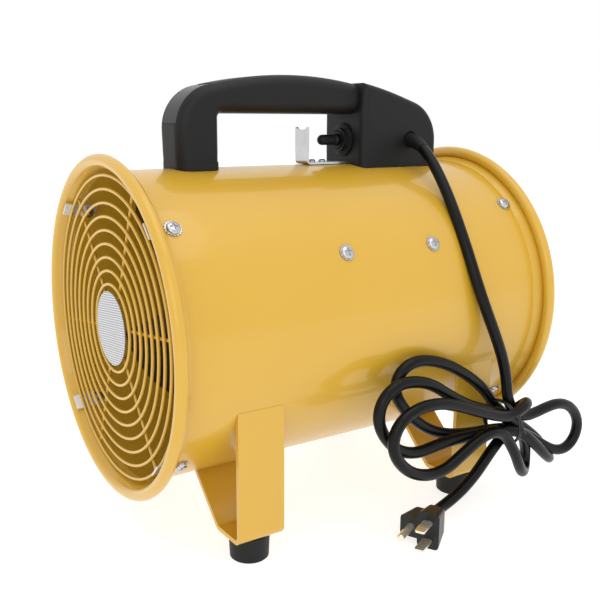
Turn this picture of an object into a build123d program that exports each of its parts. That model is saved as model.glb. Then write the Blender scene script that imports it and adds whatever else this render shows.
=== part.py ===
from build123d import *
import os
from math import asin, atan2, cos, pi, radians, sin, sqrt, tan

# Portable axial air mover: a rolled steel duct with a wire guard at each end, a
# motor and impeller on three brackets inside, four strap feet, and a moulded
# handle with a switch box. Millimetres; +Z up, the fan axis along Y, the intake
# guard faces -Y, and the origin is on the floor below the middle of the duct.

# Duct housing
BORE_R = 100.0  # inside of the duct
WALL = 1.2  # sheet steel of the duct
DUCT_LENGTH = 303.5  # over both rolled ends
FLARE_LENGTH = 13.2  # from the start of the flare to the end of the bead
BEAD_R = 4.0  # rolled bead at each end
RIM_R = 111.7  # outside of the bead
AXIS_HEIGHT = 141.0  # fan axis above the floor
SEAT = 0.1  # gap between a piece and the curved face that carries it

# Guards
WIRE_D = 2.2
GUARD_INNER_R = 28.8  # innermost ring of the intake guard
GUARD_PITCH = 8.7  # from ring to ring
GUARD_RINGS = 9
GUARD_SPOKES = 6
SPOKE_SET = 1.7  # spokes in front of the rings that they are welded to
GUARD_TURN = 7.0  # first spoke above +X, in degrees
GUARD_INSET = 10.0  # outer ring behind the end of the duct
GUARD_DOME = 3.6  # middle of the guard in front of its outer ring
CENTRE_DISC_R = 25.0
CENTRE_DISC_T = 1.6

# Guard clips, each held by a screw from outside
CLIP_COUNT = 4
CLIP_WIDTH = 10.0
CLIP_T = 1.0
CLIP_FOOT = 13.0  # length of the clip along the duct
CLIP_LIP = 8.0  # lip that comes down in front of the outer ring
CLIP_SCREW_INSET = 18.0  # screw behind the end of the duct
SCREW_D = 4.0
SCREW_HEAD_D = 9.6
SCREW_HEAD_H = 2.6
SCREW_GRIP = 6.0  # shank past the outside of the duct
NUT_FLATS = 7.0
NUT_H = 3.0

# Feet: two bent straps at each end of the duct
STRAP_WIDTH = 32.5
STRAP_T = 3.0
STRAP_INSET = 62.2  # middle of a strap from the end of the duct
STRAP_OUTER_X = 94.0
STRAP_INNER_X = 65.0  # where the flat ends and the inner leg starts
STRAP_TOP_X = 34.0  # where the inner leg meets the duct
STRAP_BEND_R = 6.0
FOOT_D = 26.6
FOOT_H = 16.5
FOOT_TAPER = 0.8  # smaller radius at the floor
FOOT_X = 77.8
FOOT_SCREW_D = 5.0
FOOT_SCREW_HEAD_D = 10.0
FOOT_SCREW_HEAD_H = 3.0
FOOT_RECESS_H = 7.0  # depth of the screw's recess in the rubber

# Handle and switch box, heights above the crown of the duct
HAND_GAP = 35.3  # below the grip
GRIP_DEPTH = 25.9  # grip at its highest
GRIP_PEAK_Y = -12.0  # where the top line is highest
GRIP_CURVE_R = 294.0  # radius of the top line
GRIP_WIDTH = 34.0
GRIP_ROUND = 9.0
HANDLE_FRONT_INSET = 50.7  # front of the post from the end of the duct
HANDLE_REAR_INSET = 42.7  # back of the switch box from the other end
POST_DEPTH = 29.5
POST_LEAN = 1.5  # the front of the post leans out at the top
BASE_BAND_H = 4.0
BASE_BAND_PROUD = 0.4
SHOULDER_R = 29.0
HAND_GAP_ROUND = 3.0
BOX_LENGTH = 70.5
BOX_WIDTH = 48.0
BOX_ROUND = 5.0
BOX_WALL = 3.0
BOX_CAVITY_H = 34.0  # above the crown
BOX_BOSS = 14.0  # solid end behind the cavity
BOX_PROUD = 0.6  # outside of the box over the grip
BOX_LEAN = 4.5  # the step between box and grip leans back at the top
INSERT_SUNK = 0.5
HANDLE_SCREW_DEPTH = 12.0
GLAND_NECK_D = 11.6
INSERT_WIDTH = 21.0
INSERT_T = 1.6
INSERT_DROP = 32.5  # lower end of the insert below the highest point of the grip
INSERT_RUN = 26.0  # and back along the top

# Toggle switch on the front wall of the switch box
SWITCH_HEIGHT = 17.1  # above the crown
SWITCH_BODY = (17.0, 22.0, 15.0)  # X, depth, Z
BUSHING_D = 12.0
BUSHING_PROUD = 0.5  # in front of the nut
SWITCH_NUT_D = 17.0
SWITCH_NUT_T = 2.5
BOOT_D = 24.0
BOOT_T = 2.6
LEVER_D = 7.5
LEVER_REACH = 22.5  # tip in front of the box
LEVER_PIVOT = 1.5  # pivot behind the front face
LEVER_BALL_R = 4.0
LEVER_FLARE = 0.7  # the rubber sleeve is wider at its foot
LEVER_GAP = 1.6  # between the bushing and the sleeve
TOGGLE_SWING = 12.0  # each way

# Switch guard: an L-shaped plate
GUARD_PLATE_W = 15.6
GUARD_PLATE_T = 1.5
GUARD_PLATE_H = 26.3  # above the crown
GUARD_PLATE_STANDOFF = 37.0  # in front of the box
GUARD_PLATE_DIP = 2.0
PLATE_SCREW_D = 3.0
PLATE_SCREW_HEAD_D = 5.6
PLATE_SCREW_HEAD_H = 1.8
PLATE_SCREW_OFFSETS = (9.0, 18.0)

# Inside the switch box
CAPACITOR = (25.0, 24.0, 14.0)  # along the duct, height, width
TERMINALS = (24.0, 8.0, 9.0)  # across, along, height

# Motor
MOTOR_R = 45.0
MOTOR_LENGTH = 104.0
MOTOR_MIDDLE_Y = 13.6
MOTOR_SHELL_T = 1.5
CAP_LENGTH = 16.0
CAP_ROUND = 9.0
CAP_T = 3.0
CAP_VENT_R = 4.5
SHAFT_R = 4.0
SHAFT_PLAY = 0.04
BEARING_R = 11.0
BEARING_W = 7.0
STATOR_LENGTH = 46.0
ROTOR_R = 23.0
AIR_GAP = 0.6
ROTOR_LENGTH = 50.0
WINDING_LENGTH = 12.0
WINDING_DEPTH = 16.0

# Motor brackets, one every third of a turn
BRACKET_COUNT = 3
BRACKET_FIRST = 30.0  # degrees from +X
BRACKET_LENGTH = 90.0
BRACKET_T = 2.0
BRACKET_FLANGE = 16.0
BRACKET_SCREW_SPAN = 72.5

# Impeller
BLADE_COUNT = 5
TIP_GAP = 3.5
HUB_R = 24.0
HUB_LENGTH = 32.0
HUB_FRONT_Y = -101.0
HUB_WALL = 3.0
HUB_NOSE = 5.0
HUB_BOSS_R = 9.0
BLADE_CHORD_ROOT = 40.0
BLADE_CHORD_TIP = 74.0
BLADE_PITCH_ROOT = 46.0  # from the plane of rotation
BLADE_PITCH_TIP = 24.0
BLADE_T = 2.4
BLADE_CAMBER = 0.09

# Mains cord and plug
CORD_D = 9.2
GLAND_D = 14.0
GLAND_LENGTH = 11.0
GLAND_FLANGE = 3.0
HANK_X = 115.3  # middle of the tied hank, on the side of the duct
HANK_DEPTH = 26.0
HANK_WAIST = 32.0  # height of the turns under the tie
HANK_FRONT = (71.0, 21.0)  # middle of the long loops: before the tie, above it
HANK_FRONT_SIZE = (52.0, 40.0)  # half length and half height
HANK_BACK = (42.0, -11.0)  # middle of the short loops: behind the tie, below it
HANK_BACK_SIZE = (34.0, 24.0)
TIE_Y = 109.0
TIE_Z = 59.0
TIE_WIDTH = 3.0
TIE_T = 1.2
PLUG_RELIEF = 12.0
PLUG_BODY = 26.0
PLUG_WIDTH = 15.0
PLUG_HEIGHT = 25.0
PLUG_ROUND = 3.0
PLUG_TAPER = 0.8  # size at the back of the body over size at the face
PIN_BLOCK_HEIGHT = 15.0  # the body round the earth pin
RELIEF_WIDE_D = 15.0
RELIEF_NARROW_D = 10.8
PLUG_OFFSET = 5.5  # blades from the line of the cord
BLADE_SPACING = 12.7
BLADE_W = 6.35
BLADE_THICK = 1.5
BLADE_LENGTH = 16.0
PIN_OFFSET = 11.9
PIN_D = 4.8
PIN_LENGTH = 19.0
GLAND_HEIGHT = 17.2  # above the crown
GLAND_INSET = 26.0  # in front of the back of the box
LEAD_D = 7.0  # motor lead, from the switch box down to the motor
LEAD_STANDOFF = 18.0  # behind the motor
LEAD_ENTRY_R = 30.0  # from the fan axis
GROMMET_D = 11.0
GROMMET_LIP = 1.6

# Worked out
DUCT_R = BORE_R + WALL
HALF_LENGTH = DUCT_LENGTH / 2
CROWN = AXIS_HEIGHT + DUCT_R
BEAD_MIDDLE = (HALF_LENGTH - BEAD_R, RIM_R - BEAD_R)
GUARD_Y = HALF_LENGTH - GUARD_INSET
GUARD_OUTER_R = GUARD_INNER_R + GUARD_PITCH * (GUARD_RINGS - 1)
CLIP_SCREW_Y = HALF_LENGTH - CLIP_SCREW_INSET
FOOT_Y = HALF_LENGTH - STRAP_INSET
HANDLE_FRONT = -HALF_LENGTH + HANDLE_FRONT_INSET
HANDLE_REAR = HALF_LENGTH - HANDLE_REAR_INSET
BOX_FRONT = HANDLE_REAR - BOX_LENGTH
GRIP_UNDER = CROWN + HAND_GAP
GRIP_TOP = GRIP_UNDER + GRIP_DEPTH
INSERT_LOW_Z = GRIP_TOP - INSERT_DROP
SWITCH_Z = CROWN + SWITCH_HEIGHT
MOTOR_FRONT = MOTOR_MIDDLE_Y - MOTOR_LENGTH / 2
MOTOR_REAR = MOTOR_MIDDLE_Y + MOTOR_LENGTH / 2
BRACKET_SCREWS_Y = (
    MOTOR_MIDDLE_Y - BRACKET_SCREW_SPAN / 2,
    MOTOR_MIDDLE_Y + BRACKET_SCREW_SPAN / 2,
)
GLAND_Y = HANDLE_REAR - GLAND_INSET
GLAND_Z = CROWN + GLAND_HEIGHT
PLATE_Y = BOX_FRONT - GUARD_PLATE_STANDOFF
POST_MIDDLE = HANDLE_FRONT + POST_DEPTH / 2
HANDLE_SCREWS_Y = (POST_MIDDLE, HANDLE_REAR - BOX_BOSS / 2)
LEAD_Y = MOTOR_REAR + LEAD_STANDOFF
HANK_TOP = TIE_Z + HANK_WAIST / 2
HANK_BOTTOM = TIE_Z - HANK_WAIST / 2
CLIP_SEAT_R = BORE_R - 3 * SEAT

AXIS = Axis((0, 0, AXIS_HEIGHT), (0, 1, 0))
ENDS = (("front", -1), ("rear", 1))

os.makedirs("parts", exist_ok=True)


def save(piece, name):
    """Labels a finished piece and writes it as its own file."""
    piece.label = name
    export_step(piece, "parts/" + name + ".step")


def clip_angles():
    return [45 + 360 / CLIP_COUNT * i for i in range(CLIP_COUNT)]


def bracket_angles():
    return [BRACKET_FIRST + 360 / BRACKET_COUNT * i for i in range(BRACKET_COUNT)]


def radial(angle, radius, y):
    """A plane across a radius of the duct: Z points outwards, X along the duct."""
    out = (cos(radians(angle)), 0, sin(radians(angle)))
    centre = (out[0] * radius, y, AXIS_HEIGHT + out[2] * radius)
    return Plane(origin=centre, x_dir=(0, 1, 0), z_dir=out)


def section(angle):
    """A plane through the fan axis: X runs along the duct, Y outwards at this angle."""
    turn = radians(angle)
    return Plane(origin=(0, 0, AXIS_HEIGHT), x_dir=(0, 1, 0), z_dir=(sin(turn), 0, -cos(turn)))


def duct_cylinder(radius, length=2 * DUCT_LENGTH, y=0):
    """A cylinder on the fan axis, made to cut other pieces to the duct."""
    return Cylinder(radius, length, mode=Mode.PRIVATE).rotate(Axis.X, 90).moved(
        Location((0, y, AXIS_HEIGHT))
    )


# Duct housing: a sheet tube, flared at both ends into a rolled bead
flare_start = HALF_LENGTH - FLARE_LENGTH
run_out = BEAD_MIDDLE[0] - flare_start
rise = BEAD_MIDDLE[1] - BORE_R
flare_angle = atan2(rise, run_out) - asin(BEAD_R / sqrt(run_out**2 + rise**2))
duct_profile = section(90)


def on_bead(radius):
    """The point where the flare meets a circle about the middle of the bead."""
    return (
        BEAD_MIDDLE[0] + radius * sin(flare_angle),
        BEAD_MIDDLE[1] - radius * cos(flare_angle),
    )


with BuildPart() as duct_housing:
    with BuildSketch(duct_profile):
        with Locations((0, BORE_R + WALL / 2)):
            Rectangle(2 * flare_start, WALL)
        for end, side in ENDS:
            inner, outer = on_bead(BEAD_R), on_bead(BEAD_R - WALL)
            with BuildLine():
                Polyline(
                    (side * flare_start, BORE_R),
                    (side * inner[0], inner[1]),
                    (side * outer[0], outer[1]),
                    (side * flare_start, DUCT_R),
                    close=True,
                )
            make_face()
            with Locations((side * BEAD_MIDDLE[0], BEAD_MIDDLE[1])):
                Circle(BEAD_R)
    revolve(axis=AXIS)
    for end, side in ENDS:
        for angle in clip_angles():
            with BuildSketch(radial(angle, BORE_R - WALL, side * CLIP_SCREW_Y)):
                Circle(SCREW_D / 2 + SEAT)
            extrude(amount=4 * WALL, mode=Mode.SUBTRACT)
    for angle in bracket_angles():
        for y in BRACKET_SCREWS_Y:
            with BuildSketch(radial(angle, BORE_R - WALL, y)):
                Circle(SCREW_D / 2 + SEAT)
            extrude(amount=4 * WALL, mode=Mode.SUBTRACT)
    with BuildSketch(Plane.XY.offset(CROWN - 4 * WALL)):
        with Locations((0, LEAD_Y)):
            Circle(GROMMET_D / 2)
        for run in PLATE_SCREW_OFFSETS:
            with Locations((0, PLATE_Y + run)):
                Circle(PLATE_SCREW_D / 2 + SEAT)
        for y in HANDLE_SCREWS_Y:
            with Locations((0, y)):
                Circle(SCREW_D / 2 + SEAT)
    extrude(amount=8 * WALL, mode=Mode.SUBTRACT)
save(duct_housing.part, "duct_housing")


# Guards: rings of wire on six spokes, the middle standing forward of the rim
def ring_y(radius):
    """How far from the middle of the duct a ring of this radius lies."""
    return GUARD_Y + GUARD_DOME * (1 - radius / GUARD_OUTER_R)


disc_ring_r = GUARD_INNER_R - GUARD_PITCH
guard_radii = [disc_ring_r + GUARD_PITCH * i for i in range(GUARD_RINGS + 1)]
for end, side in ENDS:
    radii = guard_radii if end == "front" else [disc_ring_r - GUARD_PITCH] + guard_radii
    spoke_from = min(radii)
    with BuildPart() as guard:
        with BuildSketch(duct_profile):
            for radius in radii:
                with Locations((side * ring_y(radius), radius)):
                    RegularPolygon(WIRE_D / sqrt(2), 4, rotation=45)
        revolve(axis=AXIS)
        for i in range(GUARD_SPOKES):
            turn = GUARD_TURN + 360 / GUARD_SPOKES * i
            out = (cos(radians(turn)), 0, sin(radians(turn)))
            start = (
                out[0] * spoke_from,
                side * (ring_y(spoke_from) + SPOKE_SET),
                AXIS_HEIGHT + out[2] * spoke_from,
            )
            stop = (
                out[0] * GUARD_OUTER_R,
                side * (ring_y(GUARD_OUTER_R) + SPOKE_SET),
                AXIS_HEIGHT + out[2] * GUARD_OUTER_R,
            )
            span = Vector(*stop) - Vector(*start)
            with BuildSketch(Plane(origin=start, x_dir=(0, 1, 0), z_dir=span)):
                Rectangle(WIRE_D, WIRE_D)
            extrude(amount=span.length)
    save(guard.part, end + "_guard")

# Bare disc on the middle of the intake guard
with BuildPart() as centre_disc:
    with BuildSketch(Plane.XZ.offset(ring_y(disc_ring_r) + SPOKE_SET + WIRE_D / 2 + SEAT)):
        with Locations((0, AXIS_HEIGHT)):
            Circle(CENTRE_DISC_R)
    extrude(amount=CENTRE_DISC_T)
    chamfer(centre_disc.edges().sort_by(Axis.Y)[0], CENTRE_DISC_T / 4)
save(centre_disc.part, "centre_disc")

# Guard clips: bent strips on the bore, under the flare and in front of the ring
clip_foot_end = GUARD_Y - WIRE_D / 2 - SEAT - 2 * CLIP_T
clip_lip_y = GUARD_Y + WIRE_D / 2 + SEAT + CLIP_T
clip_lip_r = BORE_R - SEAT + (clip_lip_y - clip_foot_end) * tan(flare_angle)
for end, side in ENDS:
    with BuildPart() as clips:
        for angle in clip_angles():
            with BuildSketch(section(angle).offset(-CLIP_WIDTH / 2)):
                with BuildLine():
                    Polyline(
                        (side * (CLIP_SCREW_Y - CLIP_FOOT / 2), CLIP_SEAT_R),
                        (side * clip_foot_end, CLIP_SEAT_R),
                        (side * clip_lip_y, clip_lip_r),
                        (side * clip_lip_y, clip_lip_r - CLIP_LIP),
                        (side * (clip_lip_y - CLIP_T), clip_lip_r - CLIP_LIP),
                        (side * (clip_lip_y - CLIP_T), clip_lip_r - CLIP_T * 1.2),
                        (side * clip_foot_end, CLIP_SEAT_R - CLIP_T),
                        (side * (CLIP_SCREW_Y - CLIP_FOOT / 2), CLIP_SEAT_R - CLIP_T),
                        close=True,
                    )
                make_face()
            extrude(amount=CLIP_WIDTH)
            with BuildSketch(radial(angle, CLIP_SEAT_R - 2 * CLIP_T, side * CLIP_SCREW_Y)):
                Circle(SCREW_D / 2 + SEAT)
            extrude(amount=4 * CLIP_T, mode=Mode.SUBTRACT)
    save(clips.part, end + "_guard_clips")


# Screws through the duct, and the nuts of the guard clips
def pan_screw(place, shank_d, head_d, head_h, grip):
    """A pan head standing on a plane, with its shank going down from it."""
    with BuildPart() as screw:
        with BuildSketch(place):
            Circle(head_d / 2)
        extrude(amount=head_h)
        chamfer(screw.edges().sort_by(Axis(place.origin, place.z_dir))[-1], head_h / 2)
        with BuildSketch(place):
            Circle(shank_d / 2)
        extrude(amount=-grip)
    return screw.part


def hex_nut(place, flats, height, bore):
    """A hexagon nut that stands on a plane."""
    with BuildPart() as nut:
        with BuildSketch(place):
            RegularPolygon(flats / 2, 6, major_radius=False)
            Circle(bore / 2, mode=Mode.SUBTRACT)
        extrude(amount=height)
    return nut.part


screw_seat_r = DUCT_R + SEAT
with BuildPart() as clip_screws:
    for end, side in ENDS:
        for angle in clip_angles():
            place = radial(angle, screw_seat_r, side * CLIP_SCREW_Y)
            add(pan_screw(place, SCREW_D, SCREW_HEAD_D, SCREW_HEAD_H, SCREW_GRIP))
save(clip_screws.part, "guard_clip_screws")

with BuildPart() as clip_nuts:
    for end, side in ENDS:
        for angle in clip_angles():
            place = radial(angle, CLIP_SEAT_R - CLIP_T - SEAT - NUT_H, side * CLIP_SCREW_Y)
            add(hex_nut(place, NUT_FLATS, NUT_H, SCREW_D + SEAT))
save(clip_nuts.part, "guard_clip_nuts")

with BuildPart() as bracket_screws:
    for angle in bracket_angles():
        for y in BRACKET_SCREWS_Y:
            place = radial(angle, screw_seat_r, y)
            add(pan_screw(place, SCREW_D, SCREW_HEAD_D, SCREW_HEAD_H, SCREW_GRIP))
save(bracket_screws.part, "bracket_screws")

with BuildPart() as bracket_nuts:
    for angle in bracket_angles():
        for y in BRACKET_SCREWS_Y:
            place = radial(angle, CLIP_SEAT_R - BRACKET_T - SEAT - NUT_H, y)
            add(hex_nut(place, NUT_FLATS, NUT_H, SCREW_D + SEAT))
save(bracket_nuts.part, "bracket_nuts")

# Feet: a strap bent round under the duct, welded at both of its ends
strap_top_z = -sqrt(DUCT_R**2 - STRAP_TOP_X**2)
inner_run = (STRAP_INNER_X - STRAP_TOP_X, FOOT_H - AXIS_HEIGHT - strap_top_z)
for end, side in ENDS:
    for hand, way in (("left", -1), ("right", 1)):
        middle_y = side * FOOT_Y
        with BuildPart() as strap:
            with BuildSketch(Plane(origin=(0, middle_y, AXIS_HEIGHT), x_dir=(way, 0, 0), z_dir=(0, -way, 0))):
                with BuildLine():
                    outside = FilletPolyline(
                        (STRAP_OUTER_X, 0),
                        (STRAP_OUTER_X, FOOT_H - AXIS_HEIGHT),
                        (STRAP_INNER_X, FOOT_H - AXIS_HEIGHT),
                        (STRAP_TOP_X - inner_run[0] / 4, strap_top_z - inner_run[1] / 4),
                        radius=STRAP_BEND_R,
                    )
                    offset(outside, amount=STRAP_T, side=Side.RIGHT)
                make_face()
            extrude(amount=STRAP_WIDTH / 2, both=True)
            add(duct_cylinder(DUCT_R + SEAT), mode=Mode.SUBTRACT)
            with BuildSketch(Plane.XY.offset(FOOT_H - STRAP_T)):
                with Locations((way * FOOT_X, middle_y)):
                    Circle(FOOT_SCREW_D / 2 + SEAT)
            extrude(amount=3 * STRAP_T, mode=Mode.SUBTRACT)
        save(strap.part, "foot_strap_" + end + "_" + hand)
        with BuildPart() as foot:
            with BuildSketch(Plane(origin=(way * FOOT_X, middle_y, 0), x_dir=(1, 0, 0), z_dir=(0, -1, 0))):
                with BuildLine():
                    Polyline(
                        (FOOT_SCREW_HEAD_D / 2 + 1, 0),
                        (FOOT_D / 2 - FOOT_TAPER, 0),
                        (FOOT_D / 2, FOOT_H - SEAT),
                        (FOOT_SCREW_D / 2 + SEAT, FOOT_H - SEAT),
                        (FOOT_SCREW_D / 2 + SEAT, FOOT_RECESS_H),
                        (FOOT_SCREW_HEAD_D / 2 + 1, FOOT_RECESS_H),
                        close=True,
                    )
                make_face()
            revolve(axis=Axis((way * FOOT_X, middle_y, 0), (0, 0, 1)))
            rim = foot.edges().filter_by(GeomType.CIRCLE).group_by(Axis.Z)[0]
            chamfer(rim.sort_by(SortBy.RADIUS)[-1], FOOT_TAPER)
        save(foot.part, "rubber_foot_" + end + "_" + hand)

with BuildPart() as foot_screws:
    for side in (-1, 1):
        for way in (-1, 1):
            place = Plane(
                origin=(way * FOOT_X, side * FOOT_Y, FOOT_RECESS_H - SEAT),
                x_dir=(1, 0, 0),
                z_dir=(0, 0, -1),
            )
            add(
                pan_screw(
                    place,
                    FOOT_SCREW_D,
                    FOOT_SCREW_HEAD_D,
                    FOOT_SCREW_HEAD_H,
                    FOOT_H - FOOT_RECESS_H + STRAP_T,
                )
            )
save(foot_screws.part, "foot_screws")

# Handle: one moulding, an arched grip that grows into a switch box at its back
top_from = HANDLE_FRONT + SHOULDER_R + 1
top_to = HANDLE_REAR - SHOULDER_R - 4
front_top = HANDLE_FRONT - POST_LEAN
below_crown = CROWN - BOX_WIDTH / 4


def top_point(y, along=0):
    """The top line at y, or a point that far along its tangent there."""
    rise = sqrt(GRIP_CURVE_R**2 - (y - GRIP_PEAK_Y) ** 2)
    return (y + along, GRIP_TOP - GRIP_CURVE_R + rise - along * (y - GRIP_PEAK_Y) / rise)


def handle_outline(raised=0):
    """The side outline of the whole handle, without the gap for the hand."""
    with BuildSketch(Plane.YZ) as outline:
        with BuildLine():
            Polyline(
                (HANDLE_FRONT, below_crown),
                top_point(top_from, front_top - top_from),
                top_point(top_from),
            )
            ThreePointArc(top_point(top_from), top_point(GRIP_PEAK_Y), top_point(top_to))
            Polyline(
                top_point(top_to),
                top_point(top_to, HANDLE_REAR - top_to),
                (HANDLE_REAR, below_crown),
            )
            Line((HANDLE_REAR, below_crown), (HANDLE_FRONT, below_crown))
        make_face()
        high = outline.vertices().filter_by_position(Axis.Y, GRIP_UNDER - HAND_GAP / 2, GRIP_TOP)
        fillet(high.sort_by(Axis.X)[:: len(high) - 1], SHOULDER_R)
        if raised:
            offset(amount=raised)
    return outline.sketch_local


def insert_space(play, sunk):
    """The strip set into the shoulder of the post, smaller by its play and sunk in."""
    with BuildPart() as space:
        with BuildSketch(Plane.YZ):
            add(handle_outline(-sunk) if sunk else handle_outline())
            add(handle_outline(play - INSERT_T), mode=Mode.SUBTRACT)
            with Locations((HANDLE_FRONT + INSERT_RUN - play, INSERT_LOW_Z + play)):
                Rectangle(
                    2 * INSERT_RUN,
                    2 * HAND_GAP,
                    align=(Align.MAX, Align.MIN),
                    mode=Mode.INTERSECT,
                )
        extrude(amount=INSERT_WIDTH / 2 - play, both=True)
    return space.part


side_view = handle_outline()
grip_end = BOX_FRONT + 3 * BOX_WALL
with BuildPart() as arch:
    with BuildSketch(Plane.YZ) as arch_side:
        add(side_view)
        with Locations(((grip_end + HANDLE_REAR) / 2 + BOX_LENGTH / 2, CROWN)):
            Rectangle(HANDLE_REAR - grip_end + BOX_LENGTH, 4 * HAND_GAP, mode=Mode.SUBTRACT)
        Polygon(
            (HANDLE_FRONT + POST_DEPTH, below_crown - HAND_GAP),
            (HANDLE_FRONT + POST_DEPTH, GRIP_UNDER),
            (grip_end + BOX_WALL, GRIP_UNDER),
            (grip_end + BOX_WALL, below_crown - HAND_GAP),
            align=None,
            mode=Mode.SUBTRACT,
        )
        inner = arch_side.vertices().sort_by_distance((HANDLE_FRONT + POST_DEPTH, GRIP_UNDER))[0]
        fillet(inner, HAND_GAP_ROUND)
    extrude(amount=GRIP_WIDTH / 2, both=True)
    long_edges = arch.edges().filter_by(
        lambda e: abs(e.center().X) > GRIP_WIDTH / 2 - 1
        and e.center().Z > CROWN + BASE_BAND_H
        and e.center().Y < grip_end - 1
        and abs(e.tangent_at(0.5).X) < 0.5
    )
    fillet(long_edges, GRIP_ROUND)

with BuildPart() as switch_shell:
    with BuildSketch(Plane.YZ) as shell_side:
        add(handle_outline(BOX_PROUD))
        with BuildLine():
            Line((BOX_FRONT, below_crown - HAND_GAP), (BOX_FRONT, GRIP_UNDER - BOX_WALL))
            step = TangentArc(
                (BOX_FRONT, GRIP_UNDER - BOX_WALL),
                (BOX_FRONT + BOX_LEAN, GRIP_TOP + BOX_WALL),
                tangent=(0, 1),
            )
            Polyline(
                step @ 1,
                (HANDLE_REAR + BOX_WALL, GRIP_TOP + BOX_WALL),
                (HANDLE_REAR + BOX_WALL, below_crown - HAND_GAP),
                (BOX_FRONT, below_crown - HAND_GAP),
            )
        make_face(mode=Mode.INTERSECT)
    extrude(amount=BOX_WIDTH / 2, both=True)
    side_edges = switch_shell.edges().filter_by(
        lambda e: abs(e.center().X) > BOX_WIDTH / 2 - 1 and e.center().Z > CROWN
    )
    fillet(side_edges, BOX_ROUND)

with BuildPart() as handle:
    add(arch.part)
    add(switch_shell.part)
    with BuildSketch(Plane.XY.offset(below_crown)):
        with Locations((0, POST_MIDDLE)):
            RectangleRounded(
                GRIP_WIDTH + 2 * BASE_BAND_PROUD, POST_DEPTH + 2 * BASE_BAND_PROUD, GRIP_ROUND
            )
    extrude(amount=CROWN + BASE_BAND_H - below_crown)
    with BuildSketch(Plane.XY.offset(below_crown)):
        with Locations((0, (BOX_FRONT + BOX_WALL + HANDLE_REAR - BOX_BOSS) / 2)):
            Rectangle(BOX_WIDTH - 2 * BOX_WALL, BOX_LENGTH - BOX_WALL - BOX_BOSS)
    extrude(amount=CROWN + BOX_CAVITY_H - below_crown, mode=Mode.SUBTRACT)
    with BuildSketch(Plane.XZ.offset(-BOX_FRONT - 2 * BOX_WALL)):
        with Locations((0, SWITCH_Z)):
            Circle(BUSHING_D / 2 + SEAT)
    extrude(amount=3 * BOX_WALL, mode=Mode.SUBTRACT)
    with BuildSketch(Plane.YZ.offset(BOX_WIDTH / 2 - 2 * BOX_WALL)):
        with Locations((GLAND_Y, GLAND_Z)):
            Circle(GLAND_NECK_D / 2 + SEAT)
    extrude(amount=3 * BOX_WALL, mode=Mode.SUBTRACT)
    with BuildSketch(Plane.XY.offset(below_crown)):
        for y in HANDLE_SCREWS_Y:
            with Locations((0, y)):
                Circle(SCREW_D / 2 + SEAT)
    extrude(amount=CROWN + HANDLE_SCREW_DEPTH - below_crown, mode=Mode.SUBTRACT)
    add(duct_cylinder(DUCT_R + SEAT), mode=Mode.SUBTRACT)
    add(insert_space(0, 0), mode=Mode.SUBTRACT)
save(handle.part, "handle")
save(insert_space(2 * SEAT, INSERT_SUNK), "handle_insert")

with BuildPart() as handle_screws:
    for y in HANDLE_SCREWS_Y:
        place = Plane(origin=(0, y, CROWN - WALL - 2 * SEAT), x_dir=(1, 0, 0), z_dir=(0, 0, -1))
        add(
            pan_screw(
                place, SCREW_D, SCREW_HEAD_D, SCREW_HEAD_H, WALL + HANDLE_SCREW_DEPTH - SEAT
            )
        )
save(handle_screws.part, "handle_screws")


# Toggle switch: everything turns about its axis, which runs forward from the box
def switch_profile():
    """A plane through the switch's axis: X runs forward from the box, Y upwards."""
    return Plane(origin=(0, BOX_FRONT, SWITCH_Z), x_dir=(0, -1, 0), z_dir=(-1, 0, 0))


switch_axis = Axis((0, BOX_FRONT, SWITCH_Z), (0, -1, 0))
bushing_reach = BOOT_T + SWITCH_NUT_T + BUSHING_PROUD
neck_r = LEVER_BALL_R - 1.4
mouth_r = neck_r + (bushing_reach + LEVER_PIVOT) * tan(radians(TOGGLE_SWING)) + 4 * SEAT
with BuildPart() as switch_body:
    with BuildSketch(switch_profile()):
        with BuildLine():
            Polyline(
                (-BOX_WALL - SWITCH_BODY[1] / 2, 0),
                (-BOX_WALL - SWITCH_BODY[1] / 2, BUSHING_D / 2),
                (bushing_reach, BUSHING_D / 2),
                (bushing_reach, mouth_r),
                (-LEVER_PIVOT, LEVER_BALL_R + SEAT),
                (-LEVER_PIVOT - LEVER_BALL_R - SEAT, LEVER_BALL_R + SEAT),
                (-LEVER_PIVOT - LEVER_BALL_R - SEAT, 0),
                close=True,
            )
        make_face()
    revolve(axis=switch_axis)
    with BuildSketch(Plane.XZ.offset(-BOX_FRONT - BOX_WALL - SEAT)):
        with Locations((0, SWITCH_Z)):
            Rectangle(SWITCH_BODY[0], SWITCH_BODY[2])
            Circle(LEVER_BALL_R + SEAT, mode=Mode.SUBTRACT)
    extrude(amount=-SWITCH_BODY[1])
save(switch_body.part, "switch_body")

with BuildPart() as switch_boot:
    with BuildSketch(switch_profile()):
        with BuildLine():
            Polyline(
                (SEAT, BUSHING_D / 2 + SEAT),
                (SEAT, BOOT_D / 2),
                (BOOT_T / 2, BOOT_D / 2),
                (BOOT_T, SWITCH_NUT_D / 2 + SEAT),
                (BOOT_T, BUSHING_D / 2 + SEAT),
                close=True,
            )
        make_face()
    revolve(axis=switch_axis)
save(switch_boot.part, "switch_boot")

with BuildPart() as switch_nut:
    with BuildSketch(switch_profile()):
        with Locations((BOOT_T + SWITCH_NUT_T / 2, (SWITCH_NUT_D + BUSHING_D) / 4 + SEAT / 2)):
            Rectangle(SWITCH_NUT_T - 2 * SEAT, (SWITCH_NUT_D - BUSHING_D) / 2 - SEAT)
    revolve(axis=switch_axis)
    chamfer(switch_nut.edges().sort_by(Axis.Y)[0], SWITCH_NUT_T / 4)
save(switch_nut.part, "switch_nut")

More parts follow.
